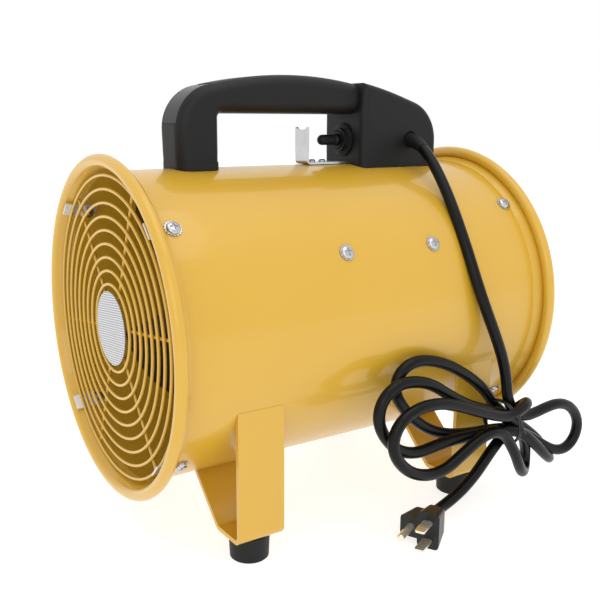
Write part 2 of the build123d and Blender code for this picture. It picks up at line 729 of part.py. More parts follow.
sleeve_from = bushing_reach + LEVER_GAP
with BuildPart() as toggle_lever:
    with BuildSketch(switch_profile()):
        with BuildLine():
            Polyline(
                (-LEVER_PIVOT, 0),
                (-LEVER_PIVOT, neck_r),
                (sleeve_from, neck_r),
                (sleeve_from, LEVER_D / 2 + LEVER_FLARE),
                (sleeve_from + 2 * LEVER_FLARE, LEVER_D / 2),
                (LEVER_REACH - LEVER_D / 2, LEVER_D / 2),
            )
            RadiusArc(
                (LEVER_REACH - LEVER_D / 2, LEVER_D / 2), (LEVER_REACH, 0), LEVER_D / 2
            )
            Line((LEVER_REACH, 0), (-LEVER_PIVOT, 0))
        make_face()
    revolve(axis=switch_axis)
    with Locations((0, BOX_FRONT + LEVER_PIVOT, SWITCH_Z)):
        Sphere(LEVER_BALL_R)
save(toggle_lever.part, "toggle_lever")

# Plate that stands in front of the toggle, with a leg along the crown of the duct
leg_z = CROWN + SEAT
with BuildPart() as switch_guard:
    with BuildSketch(Plane.YZ):
        with BuildLine():
            under = FilletPolyline(
                (BOX_FRONT - SEAT, leg_z),
                (PLATE_Y, leg_z),
                (PLATE_Y, CROWN + GUARD_PLATE_H),
                radius=2 * GUARD_PLATE_T,
            )
            offset(under, amount=GUARD_PLATE_T, side=Side.RIGHT)
        make_face()
    extrude(amount=GUARD_PLATE_W / 2, both=True)
    with BuildSketch(Plane.XZ.offset(-PLATE_Y - 3 * GUARD_PLATE_T)):
        with Locations((0, CROWN + GUARD_PLATE_H)):
            Ellipse(GUARD_PLATE_W / 2 - GUARD_PLATE_T, GUARD_PLATE_DIP)
    extrude(amount=6 * GUARD_PLATE_T, mode=Mode.SUBTRACT)
    with BuildSketch(Plane.XY.offset(leg_z)):
        for run in PLATE_SCREW_OFFSETS:
            with Locations((0, PLATE_Y + run)):
                Circle(PLATE_SCREW_D / 2 + SEAT)
    extrude(amount=2 * GUARD_PLATE_T, mode=Mode.SUBTRACT)
save(switch_guard.part, "switch_guard_plate")

with BuildPart() as plate_screws:
    for run in PLATE_SCREW_OFFSETS:
        place = Plane.XY.offset(leg_z + GUARD_PLATE_T + SEAT)
        place.origin = (0, PLATE_Y + run, leg_z + GUARD_PLATE_T + SEAT)
        add(
            pan_screw(
                place,
                PLATE_SCREW_D,
                PLATE_SCREW_HEAD_D,
                PLATE_SCREW_HEAD_H,
                GUARD_PLATE_T + 3 * WALL,
            )
        )
save(plate_screws.part, "switch_guard_screws")

# Inside the switch box
cavity_x = BOX_WIDTH / 2 - BOX_WALL - SEAT
with BuildPart() as capacitor:
    with BuildSketch(Plane.YZ.offset(-cavity_x)):
        with Locations((HANDLE_REAR - BOX_BOSS - SEAT, CROWN + BOX_CAVITY_H - SEAT)):
            RectangleRounded(*CAPACITOR[:2], 2, align=(Align.MAX, Align.MAX))
    extrude(amount=CAPACITOR[2])
save(capacitor.part, "run_capacitor")

with BuildPart() as terminal_block:
    with BuildSketch(Plane.XY.offset(CROWN + SEAT)):
        with Locations((0, LEAD_Y - GROMMET_D - GROMMET_LIP)):
            Rectangle(TERMINALS[0], TERMINALS[1])
            with GridLocations(TERMINALS[0] / 3, 0, 3, 1):
                Circle(TERMINALS[0] / 12, mode=Mode.SUBTRACT)
    extrude(amount=TERMINALS[2])
save(terminal_block.part, "terminal_block")


# Motor: a drawn shell between two end caps, with the shaft in two ball bearings
def spun(points):
    """A solid spun about the fan axis from points given as (along, outwards)."""
    with BuildPart() as ring:
        with BuildSketch(section(90)):
            with BuildLine():
                Polyline(*points, close=True)
            make_face()
        revolve(axis=AXIS)
    return ring.part


shell_inner = MOTOR_R - MOTOR_SHELL_T
save(
    spun(
        [
            (MOTOR_FRONT + CAP_LENGTH, shell_inner),
            (MOTOR_FRONT + CAP_LENGTH, MOTOR_R),
            (MOTOR_REAR - CAP_LENGTH, MOTOR_R),
            (MOTOR_REAR - CAP_LENGTH, shell_inner),
        ]
    ),
    "motor_shell",
)
seat_from = CAP_T
seat_to = CAP_T + BEARING_W
for end, face, way in (("front", MOTOR_FRONT, 1), ("rear", MOTOR_REAR, -1)):
    with BuildPart() as cap:
        with BuildSketch(section(90)):
            with BuildLine():
                Polyline(
                    (face, SHAFT_R + 1),
                    (face, MOTOR_R),
                    (face + way * CAP_LENGTH, MOTOR_R),
                    (face + way * CAP_LENGTH, shell_inner),
                    (face + way * seat_from, shell_inner),
                    (face + way * seat_from, BEARING_R + CAP_T),
                    (face + way * seat_to, BEARING_R + CAP_T),
                    (face + way * seat_to, BEARING_R),
                    (face + way * seat_from, BEARING_R),
                    (face + way * seat_from, SHAFT_R + 1),
                    close=True,
                )
            make_face()
        revolve(axis=AXIS)
        rim = cap.edges().filter_by(GeomType.CIRCLE).sort_by(Axis.Y)
        rim = rim.group_by(Axis.Y)[0 if way > 0 else -1].sort_by(SortBy.RADIUS)[-1]
        fillet(rim, CAP_ROUND)
        with BuildSketch(Plane.XZ.offset(-face - way * CAP_T * 2)):
            with Locations((0, AXIS_HEIGHT)):
                with PolarLocations((MOTOR_R + BEARING_R) / 2, 2 * BRACKET_COUNT):
                    Circle(CAP_VENT_R)
        extrude(amount=way * CAP_T * 3, mode=Mode.SUBTRACT)
    save(cap.part, "motor_" + end + "_cap")
    inner = face + way * seat_from
    save(
        spun(
            [
                (inner, SHAFT_R + SHAFT_PLAY),
                (inner, BEARING_R),
                (inner + way * BEARING_W, BEARING_R),
                (inner + way * BEARING_W, SHAFT_R + SHAFT_PLAY),
            ]
        ),
        end + "_bearing",
    )


def ring_at_middle(inside, outside, length):
    """A ring about the shaft, centred on the middle of the motor."""
    near, far = MOTOR_MIDDLE_Y - length / 2, MOTOR_MIDDLE_Y + length / 2
    return spun([(near, inside), (near, outside), (far, outside), (far, inside)])


save(ring_at_middle(ROTOR_R + AIR_GAP, shell_inner, STATOR_LENGTH), "stator_core")
save(ring_at_middle(SHAFT_R, ROTOR_R, ROTOR_LENGTH), "rotor")
for end, way in ENDS:
    near = MOTOR_MIDDLE_Y + way * STATOR_LENGTH / 2
    with BuildPart() as winding:
        with BuildSketch(section(90)):
            with Locations((near + way * WINDING_LENGTH / 2, (ROTOR_R + shell_inner) / 2)):
                Rectangle(WINDING_LENGTH, WINDING_DEPTH)
        revolve(axis=AXIS)
    save(winding.part, end + "_winding")

with BuildPart() as motor_shaft:
    with BuildSketch(Plane.XZ.offset(-(MOTOR_REAR - CAP_T))):
        with Locations((0, AXIS_HEIGHT)):
            Circle(SHAFT_R)
    extrude(amount=MOTOR_REAR - CAP_T - HUB_FRONT_Y - HUB_NOSE / 2)
save(motor_shaft.part, "motor_shaft")

# Motor brackets: a web between the shell and the bore, with a flange at each end
for i, angle in enumerate(bracket_angles()):
    out = (cos(radians(angle)), 0, sin(radians(angle)))
    start_y = MOTOR_MIDDLE_Y - BRACKET_LENGTH / 2
    with BuildPart() as bracket:
        with BuildSketch(Plane(origin=(0, start_y, AXIS_HEIGHT), x_dir=out, z_dir=(0, 1, 0))):
            Circle(CLIP_SEAT_R)
            Circle(CLIP_SEAT_R - BRACKET_T, mode=Mode.SUBTRACT)
            Circle(MOTOR_R + SEAT + BRACKET_T)
            Circle(MOTOR_R + SEAT, mode=Mode.SUBTRACT)
            with Locations((MOTOR_R, BRACKET_FLANGE / 2)):
                Rectangle(
                    CLIP_SEAT_R - MOTOR_R - BRACKET_T,
                    BRACKET_T,
                    align=(Align.MIN, Align.MAX),
                )
            with Locations((BRACKET_FLANGE, 0)):
                Rectangle(DUCT_R, BRACKET_FLANGE, align=(Align.MIN, Align.CENTER), mode=Mode.INTERSECT)
        extrude(amount=BRACKET_LENGTH)
        for y in BRACKET_SCREWS_Y:
            with BuildSketch(radial(angle, BORE_R - 4 * BRACKET_T, y)):
                Circle(SCREW_D / 2 + SEAT)
            extrude(amount=8 * BRACKET_T, mode=Mode.SUBTRACT)
    save(bracket.part, "motor_bracket_" + str(i + 1))

# Motor lead and the grommet where it goes through the duct
with BuildPart() as motor_lead:
    with BuildLine():
        lead_path = FilletPolyline(
            (0, LEAD_Y, CROWN + GROMMET_D / 2),
            (0, LEAD_Y, AXIS_HEIGHT + LEAD_ENTRY_R),
            (0, MOTOR_REAR + SEAT, AXIS_HEIGHT + LEAD_ENTRY_R),
            radius=2 * LEAD_D,
        )
    with BuildSketch(Plane(origin=lead_path @ 0, z_dir=lead_path % 0)):
        Circle(LEAD_D / 2)
    sweep()
save(motor_lead.part, "motor_lead")

with BuildPart() as grommet:
    with BuildSketch(Plane(origin=(0, LEAD_Y, CROWN), x_dir=(0, 1, 0), z_dir=(1, 0, 0))):
        with BuildLine():
            Polyline(
                (LEAD_D / 2 + SEAT, GROMMET_LIP),
                (GROMMET_D / 2 + GROMMET_LIP, GROMMET_LIP),
                (GROMMET_D / 2 + GROMMET_LIP, SEAT),
                (GROMMET_D / 2 - SEAT, SEAT),
                (GROMMET_D / 2 - SEAT, -WALL - 4 * SEAT),
                (GROMMET_D / 2 + GROMMET_LIP, -WALL - 4 * SEAT),
                (GROMMET_D / 2 + GROMMET_LIP, -WALL - GROMMET_LIP),
                (LEAD_D / 2 + SEAT, -WALL - GROMMET_LIP),
                close=True,
            )
        make_face()
    revolve(axis=Axis((0, LEAD_Y, 0), (0, 0, 1)))
save(grommet.part, "lead_grommet")

# Impeller: twisted, cambered blades on a hollow hub, trimmed to run in the bore
blade_middle = HUB_FRONT_Y + HUB_LENGTH / 2
tip_r = BORE_R - TIP_GAP
stations = (HUB_R - HUB_WALL / 2, (HUB_R + tip_r) / 2, tip_r + TIP_GAP)


def blade_section(radius):
    """The cambered section of a blade where it crosses this radius."""
    share = (radius - stations[0]) / (stations[-1] - stations[0])
    chord = BLADE_CHORD_ROOT + share * (BLADE_CHORD_TIP - BLADE_CHORD_ROOT)
    pitch = radians(BLADE_PITCH_ROOT + share * (BLADE_PITCH_TIP - BLADE_PITCH_ROOT))
    rise = BLADE_CAMBER * chord
    edge = BLADE_T / 4
    place = Plane(
        origin=(radius, blade_middle, AXIS_HEIGHT),
        x_dir=(0, sin(pitch), cos(pitch)),
        z_dir=(1, 0, 0),
    )
    with BuildSketch(place) as slice_:
        with BuildLine():
            ThreePointArc(
                (-chord / 2, edge), (0, rise + BLADE_T / 2), (chord / 2, edge)
            )
            Line((chord / 2, edge), (chord / 2, -edge))
            ThreePointArc(
                (chord / 2, -edge), (0, rise - BLADE_T / 2), (-chord / 2, -edge)
            )
            Line((-chord / 2, -edge), (-chord / 2, edge))
        make_face()
    return slice_.sketch


with BuildPart() as blade:
    for radius in stations:
        add(blade_section(radius))
    loft()
    add(duct_cylinder(tip_r), mode=Mode.INTERSECT)

hub_rear = HUB_FRONT_Y + HUB_LENGTH
with BuildPart() as impeller:
    for i in range(BLADE_COUNT):
        add(blade.part.rotate(AXIS, 360 / BLADE_COUNT * i))
    add(duct_cylinder(HUB_R - HUB_WALL / 2), mode=Mode.SUBTRACT)
    with BuildSketch(section(90)):
        with BuildLine():
            Polyline(
                (hub_rear - HUB_WALL, SHAFT_R),
                (hub_rear - HUB_WALL, HUB_BOSS_R),
                (HUB_FRONT_Y + HUB_WALL, HUB_BOSS_R),
                (HUB_FRONT_Y + HUB_WALL, HUB_R - HUB_WALL),
                (hub_rear, HUB_R - HUB_WALL),
                (hub_rear, HUB_R),
                (HUB_FRONT_Y + HUB_WALL, HUB_R),
            )
            ThreePointArc(
                (HUB_FRONT_Y + HUB_WALL, HUB_R),
                (HUB_FRONT_Y - HUB_NOSE * 0.4, HUB_R * 0.6),
                (HUB_FRONT_Y - HUB_NOSE, HUB_BOSS_R * 0.6),
            )
            Polyline(
                (HUB_FRONT_Y - HUB_NOSE, HUB_BOSS_R * 0.6),
                (HUB_FRONT_Y - HUB_NOSE, SHAFT_R),
                (hub_rear - HUB_WALL, SHAFT_R),
            )
        make_face()
    revolve(axis=AXIS)
save(impeller.part, "impeller")


# Mains cord. Its route is chosen by hand: out of the side of the switch box, round
# the duct, down to the tied hank, and from the hank to the plug on the floor.
gland_x = BOX_WIDTH / 2
lead_route = [
    (gland_x - BOX_WALL, GLAND_Y, GLAND_Z),
    (42.5, GLAND_Y, GLAND_Z),
    (61.5, 83, 247),
    (76.5, 82, 229),
    (89.5, 80, 209),
    (101, 79, 188),
    (109.5, 81, 165),
    (113.5, 87, 141),
    (114.5, 95, 117),
    (116, 103, 95),
    (118, TIE_Y, HANK_TOP + 2.8),
]
tail_route = [
    (118, 93, 47),
    (117.5, 88.5, 33),
    (118, 79.5, 22),
    (119.5, 68, 15.5),
    (121, 57, 12.7),
    (122.6, 47.5, 12.7),
]


def bend_radii(route):
    """The largest radius that the two runs at each corner of a route allow."""
    points = [Vector(*p) for p in route]
    radii = []
    for before, here, after in zip(points, points[1:], points[2:]):
        run = min((here - before).length, (after - here).length)
        turn = radians((here - before).get_angle(after - here))
        radii.append(0.45 * run / tan(turn / 2))
    return radii


def cord_tube(route):
    """A round tube along the route, straight runs joined by tangent arcs."""
    radii = bend_radii(route)
    with BuildPart() as tube:
        with BuildLine():
            path = FilletPolyline(*route, radius=radii)
        with BuildSketch(Plane(origin=path @ 0, z_dir=path % 0)):
            Circle(CORD_D / 2)
        sweep()
    section_volume = pi * CORD_D**2 / 4 * path.length
    print("cord length", round(path.length, 1), "radii", [round(r) for r in radii])
    print("volume over section times length", round(tube.part.volume / section_volume, 4))
    return tube.part


save(cord_tube(lead_route), "cord_lead")
save(cord_tube(tail_route), "cord_tail")

# The tied hank: its loops fan out on one side of the tie and close up on the other
with BuildPart() as cord_hank:
    with BuildSketch(Plane.YZ.offset(HANK_X - HANK_DEPTH / 2)):
        with Locations((TIE_Y - HANK_FRONT[0], TIE_Z + HANK_FRONT[1])):
            Ellipse(*HANK_FRONT_SIZE)
        with Locations((TIE_Y + HANK_BACK[0], TIE_Z + HANK_BACK[1])):
            Ellipse(*HANK_BACK_SIZE)
        Polygon(
            (TIE_Y - 33, TIE_Z + 48),
            (TIE_Y - 9, HANK_TOP),
            (TIE_Y + 3, HANK_TOP),
            (TIE_Y + 26, TIE_Z + 10),
            (TIE_Y + 26, TIE_Z - 32),
            (TIE_Y + 3, HANK_BOTTOM),
            (TIE_Y - 3, HANK_BOTTOM),
            (TIE_Y - 11, TIE_Z - 10.4),
            (TIE_Y - 39, TIE_Z - 10.4),
            align=None,
        )
    extrude(amount=HANK_DEPTH)
save(cord_hank.part, "cord_hank")

tie_inside = (HANK_DEPTH + 2 * SEAT, HANK_WAIST + 2 * SEAT)
with BuildPart() as cord_tie:
    with BuildSketch(Plane.XZ.offset(-TIE_Y - TIE_WIDTH / 2)):
        with Locations((HANK_X, TIE_Z)):
            Rectangle(tie_inside[0] + 2 * TIE_T, tie_inside[1] + 2 * TIE_T)
            Rectangle(*tie_inside, mode=Mode.SUBTRACT)
    extrude(amount=TIE_WIDTH)
save(cord_tie.part, "cord_tie")

# Cord gland in the side of the switch box
with BuildPart() as cord_gland:
    with BuildSketch(Plane(origin=(gland_x, GLAND_Y, GLAND_Z), x_dir=(1, 0, 0), z_dir=(0, -1, 0))):
        with BuildLine():
            Polyline(
                (-BOX_WALL - SEAT, CORD_D / 2),
                (-BOX_WALL - SEAT, GLAND_NECK_D / 2),
                (SEAT, GLAND_NECK_D / 2),
                (SEAT, GLAND_D / 2),
                (GLAND_FLANGE, GLAND_D / 2),
                (GLAND_LENGTH, CORD_D / 2 + 1),
                (GLAND_LENGTH, CORD_D / 2),
                close=True,
            )
        make_face()
    revolve(axis=Axis((gland_x, GLAND_Y, GLAND_Z), (1, 0, 0)))
save(cord_gland.part, "cord_gland")

# Plug, lying on its side: its face looks along plug_out, the earth pin to one side
plug_start = Vector(*tail_route[-1])
plug_out = (plug_start - Vector(*tail_route[-2])).normalized()
plug_out = Vector(plug_out.X, plug_out.Y, 0).normalized()
plug_side = Vector(0, 0, 1).cross(plug_out)
plug_face = plug_start + plug_out * (PLUG_RELIEF + PLUG_BODY)


def plug_plane(along):
    """A plane across the plug: X away from the earth pin, Y up."""
    return Plane(origin=plug_start + plug_out * along, x_dir=plug_side, z_dir=plug_out)


plug_blocks = (
    (PLUG_OFFSET, PLUG_WIDTH, PLUG_HEIGHT),
    (PLUG_OFFSET - PIN_OFFSET, PLUG_WIDTH, PIN_BLOCK_HEIGHT),
)
with BuildPart() as plug_body:
    for along, width, height in plug_blocks:
        for distance, size in ((PLUG_RELIEF + PLUG_BODY, 1), (PLUG_RELIEF, PLUG_TAPER)):
            with BuildSketch(plug_plane(distance)):
                with Locations((along * size, 0)):
                    RectangleRounded(width * size, height * size, PLUG_ROUND)
        loft()
    with BuildSketch(plug_plane(PLUG_RELIEF + PLUG_ROUND)):
        Circle(RELIEF_WIDE_D / 2)
    with BuildSketch(plug_plane(0)):
        Circle(RELIEF_NARROW_D / 2)
    loft()
save(plug_body.part, "plug_body")

with BuildPart() as plug_blades:
    with BuildSketch(plug_plane(PLUG_RELIEF + PLUG_BODY)):
        with Locations((PLUG_OFFSET, BLADE_SPACING / 2), (PLUG_OFFSET, -BLADE_SPACING / 2)):
            Rectangle(BLADE_W, BLADE_THICK)
    extrude(amount=BLADE_LENGTH)
    chamfer(plug_blades.edges().filter_by(Axis.Z), BLADE_W / 8)
save(plug_blades.part, "plug_blades")

with BuildPart() as plug_pin:
    with BuildSketch(plug_plane(PLUG_RELIEF + PLUG_BODY)):
        with Locations((PLUG_OFFSET - PIN_OFFSET, 0)):
            Circle(PIN_D / 2)
    extrude(amount=PIN_LENGTH)
    fillet(plug_pin.edges().sort_by(Axis(plug_face, plug_out))[-1], PIN_D / 3)
save(plug_pin.part, "plug_earth_pin")
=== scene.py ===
import math

import bmesh
import bpy
import numpy as np
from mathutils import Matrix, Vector


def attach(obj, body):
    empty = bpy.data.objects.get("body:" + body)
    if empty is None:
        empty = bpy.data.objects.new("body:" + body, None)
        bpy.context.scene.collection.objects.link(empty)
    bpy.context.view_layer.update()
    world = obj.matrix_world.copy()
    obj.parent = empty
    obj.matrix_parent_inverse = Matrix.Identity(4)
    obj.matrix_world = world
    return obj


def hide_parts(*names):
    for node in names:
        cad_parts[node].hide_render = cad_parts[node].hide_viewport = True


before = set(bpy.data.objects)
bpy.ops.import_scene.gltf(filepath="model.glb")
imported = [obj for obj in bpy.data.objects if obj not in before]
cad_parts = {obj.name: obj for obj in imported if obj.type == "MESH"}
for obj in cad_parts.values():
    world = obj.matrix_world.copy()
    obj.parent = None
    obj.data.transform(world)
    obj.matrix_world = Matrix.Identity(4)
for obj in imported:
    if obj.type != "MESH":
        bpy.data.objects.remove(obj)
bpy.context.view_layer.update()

# Camera: a studio lens a little above the crown of the duct, looking at the intake
# end and the switch side from the right.
camera_data = bpy.data.cameras.new("studio_camera")
camera_data.lens = 48.5
camera_data.sensor_width = 36.0
camera_data.shift_x = 0.0257
camera_data.shift_y = -0.0008
camera = bpy.data.objects.new("studio_camera", camera_data)
bpy.context.scene.collection.objects.link(camera)
camera.location = (0.4885, -0.3266, 0.2709)
camera_turn, camera_tilt = math.radians(57.27), math.radians(12.285)
looking = Vector(
    (
        -math.sin(camera_turn) * math.cos(camera_tilt),
        math.cos(camera_turn) * math.cos(camera_tilt),
        -math.sin(camera_tilt),
    )
)
camera.rotation_mode = "QUATERNION"
camera.rotation_quaternion = looking.to_track_quat("-Z", "Y")
bpy.context.scene.camera = camera

# Mains cord: three-core rubber-jacketed lead, 7.9 mm thick. It leaves the side of the
# switch box, hangs down the duct, is folded into a hank of loose turns, and ends in
# its plug on the floor. The points of its route are in millimetres, from the switch box
# to the plug; its thickness is in metres.
CORD_D = 0.0079
lead_points = [
    (19.5, 83.05, 259.4),
    (30, 83, 258.5),
    (42, 82, 251.5),
    (55, 80.5, 240),
    (70, 79, 222),
    (83, 77.5, 203),
    (94.5, 76.5, 184),
    (102.5, 78, 165),
    (107.5, 83, 146),
    (110, 90.5, 128),
    (112, 97.5, 110),
    (113.5, 101, 94),
    (114.5, 102, 80),
]
long_back_fold = [
    (116, 107.5, 69),
    (117, 118.5, 64),
    (117.5, 129.5, 65),
    (118.5, 140.5, 67.5),
    (119, 152, 68.3),
    (119, 163.5, 64.8),
    (118.5, 173, 57),
    (118, 178, 47.5),
    (117, 177.8, 37.5),
    (116, 173, 30),
    (115, 165, 27),
    (114, 154.5, 29.5),
    (111.5, 143.5, 36.5),
    (108.5, 131.5, 45),
]
outer_loop = [
    (107, 114, 53),
    (106.3, 96, 55.5),
    (106.3, 74, 57),
    (106.3, 54, 60.5),
    (106.3, 36.8, 67),
    (106.3, 21.8, 77.5),
    (106.3, 10.8, 89),
    (106.3, 4.3, 99.5),
    (106.3, 6.3, 110.5),
    (106.3, 14.8, 117.3),
    (106.3, 28.3, 118.5),
    (106.3, 47.5, 113),
    (106.3, 67.5, 102),
    (105.5, 86, 88.5),
    (103, 102, 72),
]
middle_back_fold = [
    (100.5, 116, 61),
    (99.5, 131, 51.5),
    (99, 144.5, 42),
    (99.5, 155.5, 33),
    (104, 158.5, 25.5),
    (112, 155, 21.8),
    (118.5, 146.5, 26.3),
    (121, 137, 33),
    (121.5, 126, 43),
    (120, 113, 54),
]
middle_loop = [
    (116.5, 97, 58.5),
    (115.3, 78, 58.8),
    (115.3, 51, 60.8),
    (115.3, 34, 59.8),
    (115.3, 17, 58),
    (115.3, 1, 63),
    (115.3, -11.5, 75.5),
    (115.3, -17, 88.5),
    (115.3, -13.5, 101),
    (115.3, -1.5, 109),
    (115.3, 14, 108.5),
    (115.3, 29, 103.5),
    (115.3, 43, 94),
    (115.3, 63, 82.5),
    (115, 84, 74.5),
    (114, 101, 68),
]
short_back_fold = [
    (114.5, 112.5, 58),
    (114, 121, 48.5),
    (111, 128, 39),
    (108.5, 132, 29),
    (111.5, 128.5, 20.5),
    (118, 119, 20.5),
    (122, 110.5, 28.5),
    (124, 104.5, 38),
    (124.4, 98.5, 47.5),
]
front_loop = [
    (124.5, 90, 59),
    (124.5, 79, 63.5),
    (124.5, 65, 60.8),
    (124.5, 49, 52.7),
    (124.5, 35.5, 46),
    (124.5, 20, 45),
    (124.5, 4, 50.5),
    (124.5, -8.5, 62.5),
    (124.5, -12.5, 76),
    (124.5, -6, 88),
    (124.5, 8.5, 94),
    (124.5, 27, 94),
    (124.5, 44, 88.8),
    (124.5, 65, 80.3),
    (124.5, 83, 73.5),
]
stub_fold = [
    (124.5, 94, 71.5),
    (124.5, 103, 73.5),
    (123.3, 111, 75.5),
    (118.5, 118.5, 75.5),
    (112, 122, 71.5),
    (107, 118.5, 66),
    (107.5, 111, 61),
]
tail_points = [
    (112, 107, 56.5),
    (114.8, 98, 51.5),
    (116, 89, 46.5),
    (116.8, 80, 39),
    (117.2, 71, 31),
    (116.6, 61, 23),
    (115.4, 51, 16.5),
    (115.3, 41, 13),
    (118.9, 30.6, 12.7),
]
cord_route = np.array(
    lead_points
    + long_back_fold
    + outer_loop
    + middle_back_fold
    + middle_loop
    + short_back_fold
    + front_loop
    + stub_fold
    + tail_points
)


def smooth_route(name, points_mm):
    """A curve object of one open smooth spline, with the points as its control points."""
    curve = bpy.data.curves.new(name, "CURVE")
    curve.dimensions = "3D"
    spline = curve.splines.new("NURBS")
    spline.points.add(len(points_mm) - 1)
    for point, (x, y, z) in zip(spline.points, points_mm):
        point.co = (x / 1000, y / 1000, z / 1000, 1.0)
    spline.order_u = 3
    spline.use_endpoint_u = True
    spline.resolution_u = 8
    made = bpy.data.objects.new(name, curve)
    bpy.context.scene.collection.objects.link(made)
    return made


def linear(hex_colour):
    """A colour written as sRGB hex, as linear red, green, blue and alpha."""
    parts = [int(hex_colour[i : i + 2], 16) / 255 for i in (1, 3, 5)]
    lit = [c / 12.92 if c <= 0.04045 else ((c + 0.055) / 1.055) ** 2.4 for c in parts]
    return (*lit, 1.0)


def add_node(tree, kind, settings=(), **inputs):
    """Adds one node, with its own settings, and numbers or other nodes' outputs as its inputs."""
    made = tree.nodes.new(kind)
    for key, value in dict(settings).items():
        setattr(made, key, value)
    for key, value in inputs.items():
        socket = made.inputs[key.replace("_", " ")]
        if isinstance(value, bpy.types.NodeSocket):
            tree.links.new(value, socket)
        else:
            socket.default_value = value
    return made


def new_finish(name, **constants):
    """A material with one Principled shader, and the constants set on its own sockets."""
    material = bpy.data.materials.new(name)
    material.use_nodes = True
    shader = material.node_tree.nodes["Principled BSDF"]
    for key, value in constants.items():
        shader.inputs[key.replace("_", " ")].default_value = value
    return material, material.node_tree, shader


def speckle(tree, shader, dark, light, cloud_mm, grain_mm, deep_mm, strength=1.0):
    """Two close colours in soft clouds, and a fine grain in relief, both in real sizes."""
    place = add_node(tree, "ShaderNodeTexCoord")
    clouds = add_node(
        tree,
        "ShaderNodeTexNoise",
        Vector=place.outputs["Object"],
        Scale=1000 / cloud_mm,
        Detail=3.0,
    )
    tones = add_node(
        tree,
        "ShaderNodeMix",
        {"data_type": "RGBA"},
        Factor=clouds.outputs["Fac"],
    )
    tones.inputs[6].default_value = linear(dark)
    tones.inputs[7].default_value = linear(light)
    tree.links.new(tones.outputs[2], shader.inputs["Base Color"])
    grain = add_node(
        tree,
        "ShaderNodeTexNoise",
        Vector=place.outputs["Object"],
        Scale=1000 / grain_mm,
        Detail=2.0,
    )
    relief = add_node(
        tree,
        "ShaderNodeBump",
        Height=grain.outputs["Fac"],
        Distance=deep_mm / 1000,
        Strength=strength,
    )
    tree.links.new(relief.outputs["Normal"], shader.inputs["Normal"])


# Extruded thermoplastic rubber: near black, a soft broad gloss, and a faint grain.
cord_jacket, tree, shader = new_finish(
    "extruded_rubber_jacket", Roughness=0.3, Specular_IOR_Level=0.2
)
speckle(tree, shader, "#070707", "#0C0C0D", cloud_mm=30, grain_mm=1.2, deep_mm=0.03)

cord = smooth_route("mains_cord", cord_route)
cord.data.bevel_depth = CORD_D / 2
cord.data.bevel_resolution = 6
cord.data.use_fill_caps = True
cord.data.materials.append(cord_jacket)
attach(cord, "housing")
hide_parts("cord_lead", "cord_hank", "cord_tail")

# Mains plug: moulded on the cord in soft black vinyl, with three plated pins. It lies on
# its side and has been pulled round a little, and its body is shorter than it is tall.
# Given here: the middle of its face as made and as it lies, and the way the pins point.
PLUG_FACE = np.array((128.9, 10.0, 12.7))
PLUG_LIES_AT = np.array((129.7, 9.0, 12.7))
PLUG_OUT = np.array((0.166, -0.986, 0.0))
PLUG_DEPTH_SHARE = 0.66
PLUG_TURN = math.radians(17)


def lying_copy(name, cad_name, material):
    """A CAD piece of the plug, turned about the upright line through the plug's face.

    What lies behind the face is drawn in along the plug's axis by the depth share."""
    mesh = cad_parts[cad_name].data.copy()
    mesh.name = name
    flat = np.empty(len(mesh.vertices) * 3)
    mesh.vertices.foreach_get("co", flat)
    offset = flat.reshape(-1, 3) * 1000 - PLUG_FACE
    along = offset @ PLUG_OUT
    drawn = np.where(along < 0, along * PLUG_DEPTH_SHARE, along)
    offset += (drawn - along)[:, None] * PLUG_OUT
    cosine, sine = math.cos(PLUG_TURN), math.sin(PLUG_TURN)
    turned = offset @ np.array(((cosine, sine, 0), (-sine, cosine, 0), (0, 0, 1)))
    mesh.vertices.foreach_set("co", ((turned + PLUG_LIES_AT) / 1000).ravel())
    mesh.materials.clear()
    mesh.materials.append(material)
    made = bpy.data.objects.new(name, mesh)
    bpy.context.scene.collection.objects.link(made)
    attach(made, "housing")
    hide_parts(cad_name)
    return made


# Vinyl from a polished mould: near black, with a small soft highlight. Nickel over brass:
# a pale and slightly warm metal, a blurred mirror.
plug_vinyl, tree, shader = new_finish(
    "moulded_black_vinyl", Roughness=0.38, Specular_IOR_Level=0.4
)
speckle(tree, shader, "#0B0B0C", "#121213", cloud_mm=14, grain_mm=0.8, deep_mm=0.03)
pin_brass, tree, shader = new_finish("nickel_plated_brass", Metallic=0.8, Roughness=0.25)
speckle(tree, shader, "#E4DDC6", "#F0EBDC", cloud_mm=6, grain_mm=0.5, deep_mm=0.01)
plug_pieces = [
    lying_copy("moulded_plug", "plug_body", plug_vinyl),
    lying_copy("plug_flat_pins", "plug_blades", pin_brass),
    lying_copy("plug_earth_round_pin", "plug_earth_pin", pin_brass),
]

# Strain relief: a soft black sleeve moulded onto the cord, pushed through the wall of the
# switch box from inside. It tapers along the cord's first bend, with shallow ribs.
RELIEF_START, RELIEF_LENGTH, RELIEF_ROOT_R, RELIEF_TIP_R = 1.0, 20.0, 5.8, 4.15
GROOVES, GROOVE_DEPTH = 8, 0.2


def line_of(curve_object):
    """The points in mm that the finished curve passes through, and how far along each is."""
    bare = curve_object.copy()
    bare.data = curve_object.data.copy()
    bare.data.bevel_depth = 0
    mesh = bpy.data.meshes.new_from_object(bare)
    points = np.array([vertex.co for vertex in mesh.vertices]) * 1000
    bpy.data.meshes.remove(mesh)
    bpy.data.curves.remove(bare.data)
    steps = np.linalg.norm(np.diff(points, axis=0), axis=1)
    return points, np.concatenate([[0], np.cumsum(steps)])


